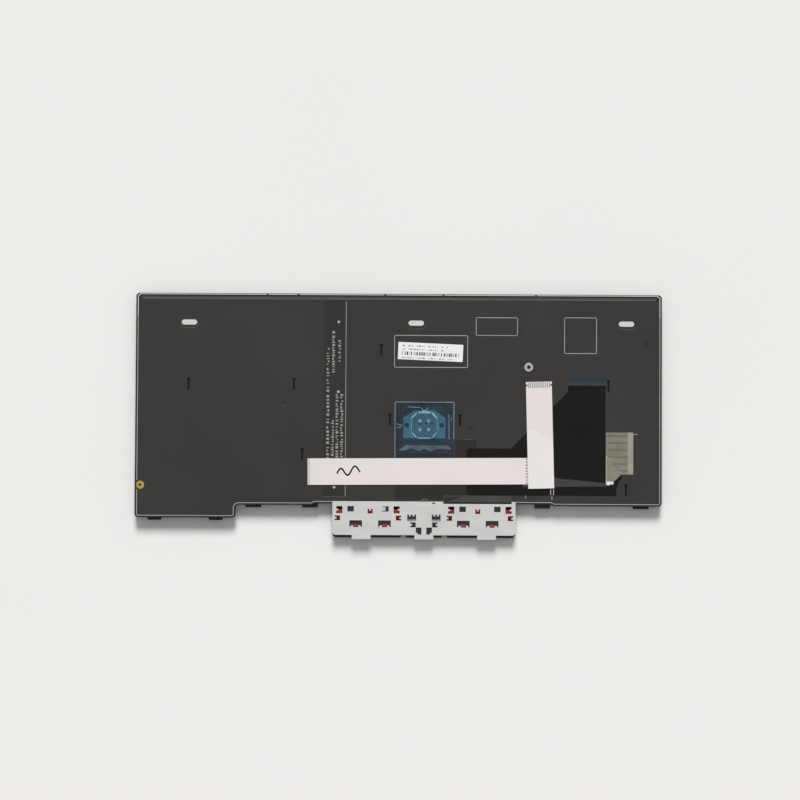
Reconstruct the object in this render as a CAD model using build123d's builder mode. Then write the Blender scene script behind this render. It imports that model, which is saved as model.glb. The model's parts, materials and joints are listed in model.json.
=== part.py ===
from build123d import *
import os
from collections import namedtuple
from math import asin, degrees

# Laptop replacement keyboard, in millimetres, lying on its keycaps with its back up.
# Seen from the back, +X is right, +Y is up and +Z comes out of the back. The typist's left is +X.

# Outline of the frame, and the bare apron below it that carries the pointer buttons
frame_width = 291.0
frame_height = 117.0
arrow_bay_edge = 0.6
arrow_bay_drop = 7.2
corner_radius = 2.0
apron_width = 101.1
apron_drop = 16.35
apron_corner = 1.7
apron_tab_width = 10.4
apron_tab_drop = 2.3
apron_tab_spacing = 34.6
recess_left_margin = 11.7
recess_right_margin = 21.2
recess_depth = 0.9
recess_slope = 25.0

# Layers, from the keycap tops to the back
keycap_height = 2.3
bezel_front = 1.9
bezel_depth = 2.7
membrane_thickness = 0.25
plate_thickness = 0.4
guide_thickness = 0.4
film_thickness = 0.15

# Edges of the layers: bezel rim, turned-up plate edge and the room between them; sides of small round forms
rim_thickness = 0.85
top_rim_thickness = 0.3
flange_thickness = 0.42
sheet_clearance = 0.05
film_margin = 0.1
round_sides = 16
film_step_width = 1.1
film_slope_width = 0.7
bezel_tab_width = 8.7
bezel_tab_drop = 1.4
bezel_tab_thickness = 1.2
bezel_tab_chamfer = 1.0
bay_tab_margin = 10.9
right_tab_margin = 11.4
far_tab_offset = 32.0
near_tab_offset = 0.7
inner_tab_offset = 6.4
notch_width = 1.0

# Keys; widths of the wide ones are in key units, and the last key of a row takes what is left
units_wide = 15
full_rows = 4
side_margin = 2.625
top_margin = 2.55
bottom_margin = 4.3
function_row_height = 12.95
bottom_row_height = 21.0
arrow_margin_step = 0.5
tab_units = 1.5
caps_units = 1.75
left_shift_units = 2.25
control_units = 1.25
space_units = 5
key_gap = 2.55
well_clearance = 0.4
cap_corner = 0.9
cap_taper = 11.0
cap_top = 0.8
cap_wall = 1.2
stem_size = 4.6
fit_clearance = 0.05

# Rubber domes and scissor links under the moving keys
dome_radius = 2.2
dome_sides = 6
dome_taper = 13.5
link_end_room = 1.8
link_side_room = 1.35
link_bar = 1.2
link_thickness = 0.7
link_gap = 0.3
double_support_units = 3

# Pointing stick
stick_units = 6.75
stick_collar_radius = 4.6
stick_wall = 0.9
stick_support_shift = 1.3
stick_hole_size = 3.6
stick_cap_radius = 3.7
stick_cap_bottom = 0.3
stick_cap_height = 1.5
stick_cap_edge = 0.7
stick_post_size = 1.6
stick_post_end = 0.9
stick_socket_clearance = 0.1
bracket_width = 23.2
bracket_height = 15.4
bracket_rise = 0.55
bracket_shoulder = 4.2
bracket_slope = 34.0
bracket_thickness = 0.25
bracket_hole_radius = 1.4
bracket_hole_spacing = 19.4
sensor_width = 15.0
sensor_corner = 3.2
sensor_thickness = 0.25
sensor_spot_spacing = 4.8
sensor_spot_radius = 1.0
sensor_spot_sides = 8
sensor_spot_height = 0.05
window_width = 32.7
window_height = 27.5
window_offset_y = -1.0
stick_film_overlap = 0.6

# Pointer buttons
button_gap = 0.8
middle_button_width = 22.0
button_front = 0.2
button_height = 2.4
button_top = 1.0
button_wall = 1.2
button_travel = 1.0
button_overhang = 1.4
button_setback = 0.65
button_corner = 1.5
button_edge = 0.3
plunger_size = 2.2
button_link_end = 2.0
button_link_step = 1.0
button_link_shift = 0.8
button_link_bar = 2.2
side_link_room = 0.675
middle_link_room = 0.5
switch_sheet_thickness = 0.15
switch_pad_width = 26.0
middle_pad_width = 19.0
flap_margin = 1.15
flap_length = 4.1
flap_shift = 1.4
flap_slot_width = 0.7

# Punched windows of the apron, measured from a button's middle or side and down from the frame's edge
side_shift = 0.275
tongue_shift = 1.2
corner_window = (3.4, 3.9)
corner_window_inset = 3.575
corner_window_y = 2.45
square_window = (3.6, 2.95)
square_window_x = 9.6
square_window_y = 1.95
cup_window = (2.8, 2.5)
cup_window_y = 3.25
hook_window = (3.0, 2.7)
hook_window_inset = 2.475
hook_window_y = 6.95
wide_window = (7.0, 2.7)
wide_leg = (0.8, 0.9)
wide_window_x = 7.95
wide_window_y = 9.65
tongue_window = (2.85, 1.1)
crown_window = (4.9, 3.75)
crown_window_x = 6.75
crown_window_y = 6.85
middle_hook_x = 6.05
middle_hook_y = 10.65
foot_window = (3.1, 3.9)
foot_window_x = 2.9
foot_window_rise = 2.3
hook_notch = 1.0

# Slots and holes of the back; a cell is in key units from the typist's left and rows below the function row
round_slot_length = 8.6
round_slot_width = 3.0
round_slot_drop = 16.05
round_slot_columns = (13.59, 7.0, 0.89)
t_slot_width = 1.1
t_slot_length = 6.5
t_slot_head = (1.8, 1.1)
t_slot_cells = (
    (13.6, 1.83),
    (10.54, 1.82),
    (10.29, 3.86),
    (8.01, 0.81),
    (7.75, 2.84),
    (5.72, 2.85),
    (1.41, 1.83),
    (0.9, 4.85),
)
flange_notch_columns = (11.32, 10.42, 7.9, 6.21, 3.52)

# Fasteners
boss_cell = (3.726, 1.3)
boss_radius = 2.45
boss_hole_radius = 0.8
boss_stand = 0.6
boss_neck_radius = 1.6
insert_rise = 10.75
insert_radius = 2.3
insert_hole_radius = 0.7
insert_flat = 2.0
insert_stand = 0.1

# Flat cables, tapes and label on the back
tape_thickness = 0.06
flex_thickness = 0.12
ribbon_thickness = 0.2
layer_gap = 0.02
strip_column = 9.34
strip_width = 12.5
strip_top_margin = 4.15
strip_bottom_margin = 3.85
tape_left_reach = 16.1
tape_right_reach = 28.7
tape_drop = 7.9
tape_bottom_margin = 2.55
pointer_ribbon_length = 121.8
pointer_ribbon_width = 14.6
pointer_ribbon_offset = (-3.5, -25.5)
pointer_ribbon_turn = 0.4
backlight_ribbon_length = 59.0
backlight_ribbon_width = 14.3
backlight_ribbon_cell = (3.395, 3.27)
backlight_ribbon_turn = 1.5
ribbon_contact_length = 1.9
ribbon_notch = 0.9
tail_edge = 15.9
tail_width = 15.0
tail_height = 23.2
tail_hang = 5.7
tail_hang_width = 8.0
tail_corner = 3.6
tail_foot_gap = 1.6
tail_slot_clearance = 0.3
flex_tail_gap = 0.2
flex_left_reach = 23.3
flex_bottom_margin = 5.05
flex_body_height = 25.7
flex_height = 65.0
flex_end_width = 20.7
flex_end_drop = 3.4
flex_foot = 6.0
flex_foot_height = 4.4
flex_corner = 2.0
stiffener_height = 4.3
stiffener_thickness = 0.18
label_width = 35.9
label_height = 9.5
label_cell = (6.58, 0.87)
label_turn = -2.4
label_thickness = 0.08

# Heights and places that follow from these sizes
overall_height = frame_height + apron_drop + apron_tab_drop
top_y = overall_height / 2
frame_bottom = top_y - frame_height
edge_y = frame_bottom + recess_depth
apron_bottom = frame_bottom - apron_drop
membrane_z = bezel_front + bezel_depth
plate_z = membrane_z + membrane_thickness
guide_z = plate_z + plate_thickness
film_z = guide_z + guide_thickness
back_z = film_z + film_thickness
apron_z = back_z - plate_thickness
flex_z = back_z + tape_thickness + layer_gap
pointer_ribbon_z = flex_z + flex_thickness + layer_gap
backlight_ribbon_z = pointer_ribbon_z + ribbon_thickness + layer_gap
plate_inset = rim_thickness + sheet_clearance
hem_thickness = plate_inset + flange_thickness
film_inset = hem_thickness + film_margin

block_width = frame_width - 2 * side_margin
block_left = block_width / 2
key_pitch = block_width / units_wide
row_pitch = (frame_height - top_margin - function_row_height - bottom_row_height - bottom_margin) / full_rows
arrow_row_height = (bottom_row_height + arrow_bay_drop + arrow_margin_step) / 2
function_row_top = top_y - top_margin
number_row_top = function_row_top - function_row_height
top_row_top = number_row_top - row_pitch
home_row_top = top_row_top - row_pitch
lower_row_top = home_row_top - row_pitch
bottom_row_top = lower_row_top - row_pitch
link_length = row_pitch - key_gap - 2 * (cap_wall + link_end_room)
link_width = key_pitch - key_gap - 2 * (cap_wall + link_side_room)
stick_x = block_left - stick_units * key_pitch
stick_y = lower_row_top
window_y = stick_y + window_offset_y
recess_left = stick_x - apron_width / 2 - recess_left_margin
recess_right = stick_x + apron_width / 2 + recess_right_margin
side_button_width = (apron_width - middle_button_width) / 2 - button_gap
side_button_x = (middle_button_width + side_button_width) / 2 + button_gap
button_y_top = edge_y - button_setback
button_y_bottom = apron_bottom - button_overhang
button_y = (button_y_top + button_y_bottom) / 2
button_depth = button_y_top - button_y_bottom
button_links_y = button_y + button_link_shift
button_link_length = button_depth - 2 * (button_wall + button_link_end)
button_inner_length = button_link_length - button_link_step
side_link_width = side_button_width - 2 * (button_wall + side_link_room)
middle_link_width = middle_button_width - 2 * (button_wall + middle_link_room)
side_offset = side_button_x - side_shift
tongue_offset = side_offset - tongue_shift
corner_window_x = side_button_width / 2 - corner_window_inset
hook_window_x = side_button_width / 2 - hook_window_inset
foot_window_y = apron_drop - foot_window_rise
flap_width = side_button_width - flap_margin
flap_offset = side_offset - flap_shift
flap_slot_y = edge_y + plate_inset / 2
riser_y = flap_slot_y + (flap_slot_width - switch_sheet_thickness) / 2
switch_pad_top = riser_y + switch_sheet_thickness / 2
switch_pad_height = switch_pad_top - frame_bottom + wide_window_y + wide_window[1] / 2
switch_z = apron_z - switch_sheet_thickness
button_ceiling = button_front + button_top
flex_bottom = edge_y + flex_bottom_margin
tail_right = frame_width / 2 - tail_edge
tail_left = tail_right - tail_width
tail_bottom = flex_bottom + flex_foot_height + tail_foot_gap + tail_hang
tail_top = tail_bottom + tail_height
flex_right = tail_left - flex_tail_gap
flex_left = stick_x + flex_left_reach
flex_shoulder = flex_bottom + flex_body_height
flex_end_top = flex_bottom + flex_height
insert_x = plate_inset + insert_flat - frame_width / 2
insert_y = frame_bottom + insert_rise

Key = namedtuple("Key", "name x y width height")


def place(cell):
    """Point of the back that lies so many key units from the typist's left and rows down."""
    column, row = cell
    return (block_left - column * key_pitch, number_row_top - row * row_pitch)


def row_of_keys(left, top, height, cells):
    """Key cells of one row, from the typist's left; cells are pairs of name and width."""
    keys = []
    for name, width in cells:
        keys.append(Key(name, left - width / 2, top - height / 2, width, height))
        left -= width
    return keys


def units(names, count=1.0):
    """Cells of the same width, in key units."""
    return [(name, count * key_pitch) for name in names]


def closed_row(cells, last):
    """The cells with a last key that takes what is left of the row."""
    return cells + [(last, block_width - sum(width for name, width in cells))]


function_names = ["escape"] + [f"f{number}" for number in range(1, 13)] + ["home", "end", "insert", "delete"]
function_cells = units(function_names, units_wide / len(function_names))
number_names = ["grave", "1", "2", "3", "4", "5", "6", "7", "8", "9", "0", "minus", "equal"]
number_cells = closed_row(units(number_names), "backspace")
top_cells = units(["tab"], tab_units) + units("qwertyuiop") + units(["open", "close"])
top_cells = closed_row(top_cells, "backslash")
home_cells = units(["caps"], caps_units) + units("asdfghjkl") + units(["semicolon", "quote"])
home_cells = closed_row(home_cells, "enter")
lower_cells = units(["left_shift"], left_shift_units) + units("zxcvbnm") + units(["comma", "period", "slash"])
lower_cells = closed_row(lower_cells, "right_shift")
bottom_cells = units(["fn"]) + units(["left_control"], control_units) + units(["system", "left_alt"])
bottom_cells += units(["space"], space_units) + units(["right_alt", "print", "right_control"])
arrow_left = block_left - sum(width for name, width in bottom_cells)
arrow_width = arrow_left + block_left
arrow_bay_width = side_margin + arrow_width + arrow_bay_edge
upper_arrow_names = ["page_up", "up", "page_down"]
lower_arrow_names = ["left", "down", "right"]
upper_arrow_cells = [(name, arrow_width / len(upper_arrow_names)) for name in upper_arrow_names]
lower_arrow_cells = [(name, arrow_width / len(lower_arrow_names)) for name in lower_arrow_names]
rows = [
    row_of_keys(block_left, function_row_top, function_row_height, function_cells),
    row_of_keys(block_left, number_row_top, row_pitch, number_cells),
    row_of_keys(block_left, top_row_top, row_pitch, top_cells),
    row_of_keys(block_left, home_row_top, row_pitch, home_cells),
    row_of_keys(block_left, lower_row_top, row_pitch, lower_cells),
    row_of_keys(block_left, bottom_row_top, bottom_row_height, bottom_cells),
    row_of_keys(arrow_left, bottom_row_top, arrow_row_height, upper_arrow_cells),
    row_of_keys(arrow_left, bottom_row_top - arrow_row_height, arrow_row_height, lower_arrow_cells),
]
all_keys = {key.name: key for row in rows for key in row}
stick_keys = ("g", "h", "b")
key_below_stick = "b"
moving_names = list("qwertyuiopasdfghjklzxcvbnm") + ["space", "enter", "backspace"]
fixed_groups = {
    "function_keys": function_names,
    "number_keys": number_names,
    "symbol_keys": ["open", "close", "backslash", "semicolon", "quote", "comma", "period", "slash"],
    "modifier_keys": ["tab", "caps", "left_shift", "right_shift", "fn", "left_control", "system", "left_alt",
                      "right_alt", "print", "right_control"],
    "arrow_keys": upper_arrow_names + lower_arrow_names,
}
t_slot_places = [place(cell) for cell in t_slot_cells]
boss_x, boss_y = place(boss_cell)


def save(part, name):
    """Label a finished piece and write it."""
    part.label = name
    export_step(part, f"parts/{name}.step")


def key_rectangles(keys, inset):
    """Draw the keys' outlines in the open sketch, smaller by the inset on each side."""
    for width, height in sorted({(key.width, key.height) for key in keys}):
        with Locations([(key.x, key.y) for key in keys if (key.width, key.height) == (width, height)]):
            Rectangle(width - key_gap - 2 * inset, height - key_gap - 2 * inset)


def build_keycap(key, stem):
    """Hollow drafted cap, open towards the back, with a fixed stem down to the membrane or none."""
    with BuildPart() as cap:
        with BuildSketch() as skirt:
            key_rectangles([key], 0)
            chamfer(skirt.vertices(), cap_corner)
        extrude(amount=keycap_height)
        sides = [face for face in cap.faces() if abs(face.normal_at().Z) < fit_clearance]
        draft(sides, Plane.XY.offset(keycap_height), -cap_taper)
        if key.name in stick_keys:
            with BuildSketch():
                with Locations((stick_x, stick_y)):
                    RegularPolygon(stick_collar_radius, round_sides)
            extrude(amount=keycap_height, mode=Mode.SUBTRACT)
        with BuildSketch(Plane.XY.offset(keycap_height)):
            key_rectangles([key], cap_wall)
            if key.name in stick_keys:
                with Locations((stick_x, stick_y)):
                    RegularPolygon(stick_collar_radius + stick_wall, round_sides, mode=Mode.SUBTRACT)
        extrude(amount=cap_top - keycap_height, mode=Mode.SUBTRACT)
        if stem:
            with BuildSketch(Plane.XY.offset(membrane_z)):
                with Locations((key.x, key.y)):
                    Rectangle(stem_size, stem_size)
            extrude(amount=cap_top - membrane_z)
    return cap.part


def frame_outline(inset, rounded=True):
    """Outline of the frame seen from the back, smaller by the inset; hidden sheets have square corners."""
    with BuildSketch() as outline:
        with Locations((0, top_y)):
            Rectangle(frame_width, frame_height, align=(Align.CENTER, Align.MAX))
        with Locations((-frame_width / 2, top_y)):
            Rectangle(arrow_bay_width, frame_height + arrow_bay_drop, align=(Align.MIN, Align.MAX))
        if rounded:
            fillet(outline.vertices(), corner_radius)
        with Locations(((recess_left + recess_right) / 2, frame_bottom)):
            Trapezoid(recess_right - recess_left, recess_depth, recess_slope,
                      align=(Align.CENTER, Align.MIN), mode=Mode.SUBTRACT)
        if inset:
            offset(amount=-inset, kind=Kind.INTERSECTION)
    return outline.sketch


def cut_t_slots(start, height):
    """Cut the narrow T-shaped slots through a layer of the open part."""
    head_y = (t_slot_length - t_slot_head[1]) / 2
    with BuildSketch(Plane.XY.offset(start)) as slots:
        with Locations(t_slot_places):
            Rectangle(t_slot_width, t_slot_length)
        with Locations([(x, y + head_y) for x, y in t_slot_places]):
            Rectangle(*t_slot_head)
    extrude(slots.sketch, amount=height, mode=Mode.SUBTRACT)


def cut_tail_slot(start, height):
    """Cut the slot that the membrane's tail comes up through."""
    slot_width = membrane_thickness + 2 * tail_slot_clearance
    slot_height = tail_top - tail_bottom + 2 * tail_slot_clearance
    with BuildSketch(Plane.XY.offset(start)) as slot:
        with Locations((tail_right + membrane_thickness / 2, (tail_top + tail_bottom) / 2)):
            Rectangle(slot_width, slot_height)
    extrude(slot.sketch, amount=height, mode=Mode.SUBTRACT)


def cut_round(x, y, radius, start, height):
    """Cut a round hole through a layer of the open part."""
    with BuildSketch(Plane.XY.offset(start)) as hole:
        with Locations((x, y)):
            Circle(radius)
    extrude(hole.sketch, amount=height, mode=Mode.SUBTRACT)


def cut_insert_seat(start, height):
    """Cut the brass insert's seat through a layer, open to the edge beside the rim."""
    with BuildSketch(Plane.XY.offset(start)) as seat:
        with Locations((insert_x, insert_y)):
            Circle(insert_radius + film_margin)
            Rectangle(insert_radius + rim_thickness, 2 * (insert_radius + film_margin),
                      align=(Align.MAX, Align.CENTER))
    extrude(seat.sketch, amount=height, mode=Mode.SUBTRACT)


os.makedirs("parts", exist_ok=True)

# Bezel frame: a grid of key wells, a rim round the plate, and tabs along the lower edge
tab_places = [
    (bay_tab_margin - frame_width / 2, frame_bottom - arrow_bay_drop),
    (arrow_bay_width - bay_tab_margin - frame_width / 2, frame_bottom - arrow_bay_drop),
    (recess_left - far_tab_offset, frame_bottom),
    (recess_left - near_tab_offset, frame_bottom),
    (recess_right - inner_tab_offset, frame_bottom),
    (frame_width / 2 - right_tab_margin, frame_bottom),
]
with BuildSketch() as wells:
    key_rectangles(all_keys.values(), -well_clearance)
    with Locations((stick_x, stick_y)):
        Circle(stick_collar_radius - well_clearance, mode=Mode.SUBTRACT)
with BuildPart() as bezel:
    with BuildSketch(Plane.XY.offset(bezel_front)):
        add(frame_outline(0))
        add(wells.sketch, mode=Mode.SUBTRACT)
        with Locations((stick_x, stick_y)):
            Rectangle(stick_hole_size, stick_hole_size, mode=Mode.SUBTRACT)
    extrude(amount=bezel_depth)
    with BuildSketch(Plane.XY.offset(membrane_z)):
        add(frame_outline(0))
        add(frame_outline(rim_thickness), mode=Mode.SUBTRACT)
        with Locations((0, top_y - top_rim_thickness)):
            Rectangle(frame_width - 2 * corner_radius, rim_thickness, align=(Align.CENTER, Align.MAX),
                      mode=Mode.SUBTRACT)
        with Locations((stick_x, edge_y)):
            Rectangle(apron_width + 2 * sheet_clearance, 2 * recess_depth, mode=Mode.SUBTRACT)
    extrude(amount=back_z - membrane_z)
    with BuildSketch(Plane.XY.offset(membrane_z - bezel_tab_thickness)) as tabs:
        with Locations(tab_places):
            Rectangle(bezel_tab_width, 2 * bezel_tab_drop)
        chamfer(tabs.vertices().group_by(Axis.Y)[0], bezel_tab_chamfer)
        chamfer(tabs.vertices().group_by(Axis.Y)[1], bezel_tab_chamfer)
        add(wells.sketch, mode=Mode.SUBTRACT)
    extrude(amount=bezel_tab_thickness)
save(bezel.part, "bezel_frame")

# Base plate: one stamped sheet with a turned-up edge, which runs out below as the bare apron
with BuildSketch() as windows:
    for side in (-1, 1):
        for flip in (-1, 1):
            x = stick_x + side * side_offset
            with Locations((x + flip * corner_window_x, frame_bottom - corner_window_y)):
                Rectangle(*corner_window)
            edge_x = x + flip * (corner_window_x + corner_window[0] / 2)
            with Locations((edge_x, frame_bottom - corner_window_y)):
                Rectangle(2 * hook_notch, hook_notch, mode=Mode.SUBTRACT)
            with Locations((x + flip * square_window_x, frame_bottom - square_window_y)):
                Rectangle(*square_window)
            with Locations((x + flip * hook_window_x, frame_bottom - hook_window_y)):
                Rectangle(*hook_window)
            edge_x = x + flip * (hook_window_x + hook_window[0] / 2)
            with Locations((edge_x, frame_bottom - hook_window_y)):
                Rectangle(2 * hook_notch, hook_notch, mode=Mode.SUBTRACT)
            x = stick_x + side * tongue_offset + flip * wide_window_x
            with Locations((x, frame_bottom - wide_window_y)):
                Rectangle(*wide_window)
            with Locations((x, frame_bottom - wide_window_y - wide_window[1] / 2)):
                Rectangle(tongue_window[0], 2 * tongue_window[1])
                with GridLocations(wide_window[0] - wide_leg[0], 1, 2, 1):
                    Rectangle(wide_leg[0], 2 * wide_leg[1])
        x = stick_x + side * tongue_offset
        with Locations((x, frame_bottom - cup_window_y)):
            Rectangle(*cup_window)
        with Locations((x, frame_bottom - cup_window_y + cup_window[1] / 2)):
            Rectangle(hook_notch, 2 * hook_notch, mode=Mode.SUBTRACT)
        x = stick_x + side * crown_window_x
        with Locations((x, frame_bottom - crown_window_y)):
            Rectangle(*crown_window)
        with Locations((x, frame_bottom - crown_window_y + crown_window[1] / 2)):
            with GridLocations(2 * hook_notch, 1, 2, 1):
                Rectangle(hook_notch, 2 * hook_notch, mode=Mode.SUBTRACT)
        x = stick_x + side * middle_hook_x
        with Locations((x, frame_bottom - middle_hook_y)):
            Rectangle(*hook_window)
        with Locations((x + side * hook_window[0] / 2, frame_bottom - middle_hook_y)):
            Rectangle(2 * hook_notch, hook_notch, mode=Mode.SUBTRACT)
        x = stick_x + side * foot_window_x
        with Locations((x, frame_bottom - foot_window_y)):
            Rectangle(*foot_window)
        with Locations((x + side * foot_window[0] / 2, frame_bottom - foot_window_y - foot_window[1] / 2)):
            Rectangle(2 * hook_notch, 2 * hook_notch, mode=Mode.SUBTRACT)
hem_y = top_y - top_rim_thickness - sheet_clearance
hem_width = frame_width - 2 * corner_radius - 2 * sheet_clearance
with BuildPart() as base_plate:
    with BuildSketch(Plane.XY.offset(plate_z)):
        add(frame_outline(plate_inset))
        with Locations((0, hem_y)):
            Rectangle(hem_width, hem_thickness, align=(Align.CENTER, Align.MAX))
        with Locations((stick_x, stick_y)):
            Rectangle(stick_hole_size, stick_hole_size, mode=Mode.SUBTRACT)
    extrude(amount=plate_thickness)
    with BuildSketch(Plane.XY.offset(guide_z)):
        add(frame_outline(plate_inset))
        with Locations((0, hem_y)):
            Rectangle(hem_width, hem_thickness, align=(Align.CENTER, Align.MAX))
        add(frame_outline(plate_inset + flange_thickness), mode=Mode.SUBTRACT)
        with Locations((0, hem_y - flange_thickness)):
            Rectangle(hem_width - 2 * flange_thickness, hem_thickness, align=(Align.CENTER, Align.MAX),
                      mode=Mode.SUBTRACT)
        with Locations([(block_left - column * key_pitch, top_y) for column in flange_notch_columns]):
            Rectangle(notch_width, 3 * hem_thickness, mode=Mode.SUBTRACT)
    extrude(amount=back_z - guide_z)
    with BuildSketch(Plane.XY.offset(apron_z)) as apron:
        with Locations((stick_x, apron_bottom)):
            Rectangle(apron_width, edge_y + hem_thickness - apron_bottom, align=(Align.CENTER, Align.MIN))
            with GridLocations(apron_tab_spacing, 1, 3, 1):
                Rectangle(apron_tab_width, 2 * apron_tab_drop)
        fillet(apron.vertices().filter_by(lambda v: abs(v.Y - apron_bottom) < sheet_clearance
               and abs(v.X - stick_x) > apron_width / 2 - sheet_clearance), apron_corner)
        add(windows.sketch, mode=Mode.SUBTRACT)
        with Locations((stick_x + flap_offset, flap_slot_y)):
            Rectangle(flap_width + 2 * film_margin, flap_slot_width, mode=Mode.SUBTRACT)
    extrude(amount=plate_thickness)
    cut_t_slots(plate_z, plate_thickness)
    cut_tail_slot(plate_z, plate_thickness)
    cut_round(boss_x, boss_y, boss_neck_radius, plate_z, plate_thickness)
    cut_insert_seat(plate_z, back_z - plate_z)
save(base_plate.part, "base_plate")

# Switch membrane: the sheet under the keys, and its printed tail, which folds up through the plate
with BuildPart() as membrane:
    with BuildSketch(Plane.XY.offset(membrane_z)):
        add(frame_outline(film_inset, rounded=False))
        with Locations((stick_x, stick_y)):
            Rectangle(stick_hole_size, stick_hole_size, mode=Mode.SUBTRACT)
    extrude(amount=membrane_thickness)
    cut_insert_seat(membrane_z, membrane_thickness)
    with BuildSketch(Plane.XY.offset(membrane_z)):
        with Locations((tail_right, tail_top)):
            Rectangle(membrane_thickness, tail_top - tail_bottom, align=(Align.MIN, Align.MAX))
    extrude(amount=flex_z + flex_thickness - membrane_z)
    with BuildSketch(Plane.XY.offset(flex_z)) as tail_face:
        with Locations((tail_left, tail_top)):
            Rectangle(tail_right + membrane_thickness - tail_left, tail_top - tail_bottom,
                      align=(Align.MIN, Align.MAX))
            Rectangle(tail_hang_width, tail_top - tail_bottom + tail_hang, align=(Align.MIN, Align.MAX))
        chamfer(tail_face.vertices().group_by(Axis.Y)[0].sort_by(Axis.X)[-1], tail_corner)
    extrude(amount=flex_thickness)
save(membrane.part, "switch_membrane")

# Light guide: the white sheet behind the plate
with BuildPart() as light_guide:
    with BuildSketch(Plane.XY.offset(guide_z)):
        add(frame_outline(film_inset + 2 * film_margin, rounded=False))
        with Locations((0, top_y)):
            Rectangle(frame_width, 2 * (hem_thickness + film_margin + film_step_width + film_slope_width),
                      mode=Mode.SUBTRACT)
        with Locations((stick_x, window_y)):
            Rectangle(window_width, window_height, mode=Mode.SUBTRACT)
    extrude(amount=guide_thickness)
    cut_tail_slot(guide_z, guide_thickness)
    with BuildSketch(Plane.XY.offset(guide_z)):
        with Locations(t_slot_places):
            Rectangle(t_slot_head[0], t_slot_length)
        with Locations((boss_x, boss_y)):
            Rectangle(2 * (boss_radius + film_margin), 2 * (boss_radius + film_margin))
    extrude(amount=guide_thickness, mode=Mode.SUBTRACT)
    cut_insert_seat(guide_z, guide_thickness)
save(light_guide.part, "light_guide")

# Back film: black film over the light guide, stepping down to the plate along the top edge
film_top = top_y - hem_thickness - film_margin
film_fold = film_top - film_step_width
film_crest = film_fold - film_slope_width
with BuildPart() as back_film:
    with BuildSketch(Plane.XY.offset(film_z)):
        add(frame_outline(film_inset))
        with Locations((0, film_crest)):
            Rectangle(frame_width, key_pitch, align=(Align.CENTER, Align.MIN), mode=Mode.SUBTRACT)
        with Locations((stick_x, window_y)):
            Rectangle(window_width, window_height, mode=Mode.SUBTRACT)
        slot_y = top_y - round_slot_drop
        with Locations([(block_left - column * key_pitch, slot_y) for column in round_slot_columns]):
            Rectangle(round_slot_length - round_slot_width, round_slot_width, mode=Mode.SUBTRACT)
            with GridLocations(round_slot_length - round_slot_width, 1, 2, 1):
                RegularPolygon(round_slot_width / 2, round_sides, mode=Mode.SUBTRACT)
    extrude(amount=film_thickness)
    with BuildSketch(Plane.YZ.offset(film_inset + corner_radius - frame_width / 2)):
        with BuildLine():
            Polyline(
                (film_crest, film_z),
                (film_crest, back_z),
                (film_fold, guide_z + film_thickness),
                (film_top, guide_z + film_thickness),
                (film_top, guide_z),
                (film_fold, guide_z),
                close=True,
            )
        make_face()
    extrude(amount=frame_width - 2 * (film_inset + corner_radius))
    cut_t_slots(film_z, film_thickness)
    cut_tail_slot(film_z, film_thickness)
    with BuildSketch(Plane.XY.offset(film_z)):
        with Locations((boss_x, boss_y)):
            RegularPolygon(boss_radius + film_margin, round_sides)
    extrude(amount=film_thickness, mode=Mode.SUBTRACT)
    cut_insert_seat(film_z, film_thickness)
save(back_film.part, "back_film")

# Thin strips and tapes that lie on the back film
with BuildPart() as led_strip:
    with BuildSketch(Plane.XY.offset(back_z)):
        strip_bottom = edge_y + strip_bottom_margin
        with Locations((block_left - strip_column * key_pitch, strip_bottom)):
            Rectangle(strip_width, top_y - strip_top_margin - strip_bottom, align=(Align.CENTER, Align.MIN))
    extrude(amount=tape_thickness)
save(led_strip.part, "led_strip")

film_right = stick_x + window_width / 2 + stick_film_overlap
film_lower = window_y - window_height / 2 - stick_film_overlap
with BuildPart() as cover_tape:
    with BuildSketch(Plane.XY.offset(back_z)):
        tape_bottom = edge_y + tape_bottom_margin
        with Locations((stick_x - tape_left_reach, tape_bottom)):
            Rectangle(tape_left_reach + tape_right_reach, stick_y - tape_drop - tape_bottom,
                      align=(Align.MIN, Align.MIN))
        with Locations((film_right + film_margin, film_lower - film_margin)):
            Rectangle(frame_width, frame_height, align=(Align.MAX, Align.MIN), mode=Mode.SUBTRACT)
    extrude(amount=tape_thickness)
save(cover_tape.part, "cover_tape")

# Pointing stick: bracket on the plate, sensor with its post through the plate, cap, clear blue film
with BuildPart() as bracket:
    with BuildSketch(Plane.XY.offset(guide_z)):
        with Locations((stick_x, stick_y + bracket_rise - bracket_height / 2)):
            Rectangle(bracket_width, bracket_height - bracket_shoulder, align=(Align.CENTER, Align.MIN))
        with Locations((stick_x, stick_y + bracket_rise + bracket_height / 2)):
            Trapezoid(bracket_width, bracket_shoulder, bracket_slope, align=(Align.CENTER, Align.MAX))
        with Locations((stick_x, stick_y)):
            Rectangle(stick_hole_size, stick_hole_size, mode=Mode.SUBTRACT)
            with GridLocations(bracket_hole_spacing, 1, 2, 1):
                RegularPolygon(bracket_hole_radius, sensor_spot_sides, mode=Mode.SUBTRACT)
    extrude(amount=bracket_thickness)
save(bracket.part, "stick_bracket")

sensor_z = guide_z + bracket_thickness
with BuildPart() as sensor:
    with BuildSketch(Plane.XY.offset(sensor_z)) as sensor_face:
        with Locations((stick_x, stick_y)):
            Rectangle(sensor_width, sensor_width)
        chamfer(sensor_face.vertices(), sensor_corner)
    extrude(amount=sensor_thickness)
    with BuildSketch(Plane.XY.offset(sensor_z + sensor_thickness)):
        with Locations((stick_x, stick_y)):
            with GridLocations(sensor_spot_spacing, sensor_spot_spacing, 2, 2):
                RegularPolygon(sensor_spot_radius, sensor_spot_sides)
    extrude(amount=sensor_spot_height)
    with BuildSketch(Plane.XY.offset(sensor_z)):
        with Locations((stick_x, stick_y)):
            Rectangle(stick_post_size, stick_post_size)
    extrude(amount=stick_post_end - sensor_z)
save(sensor.part, "stick_sensor")

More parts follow.
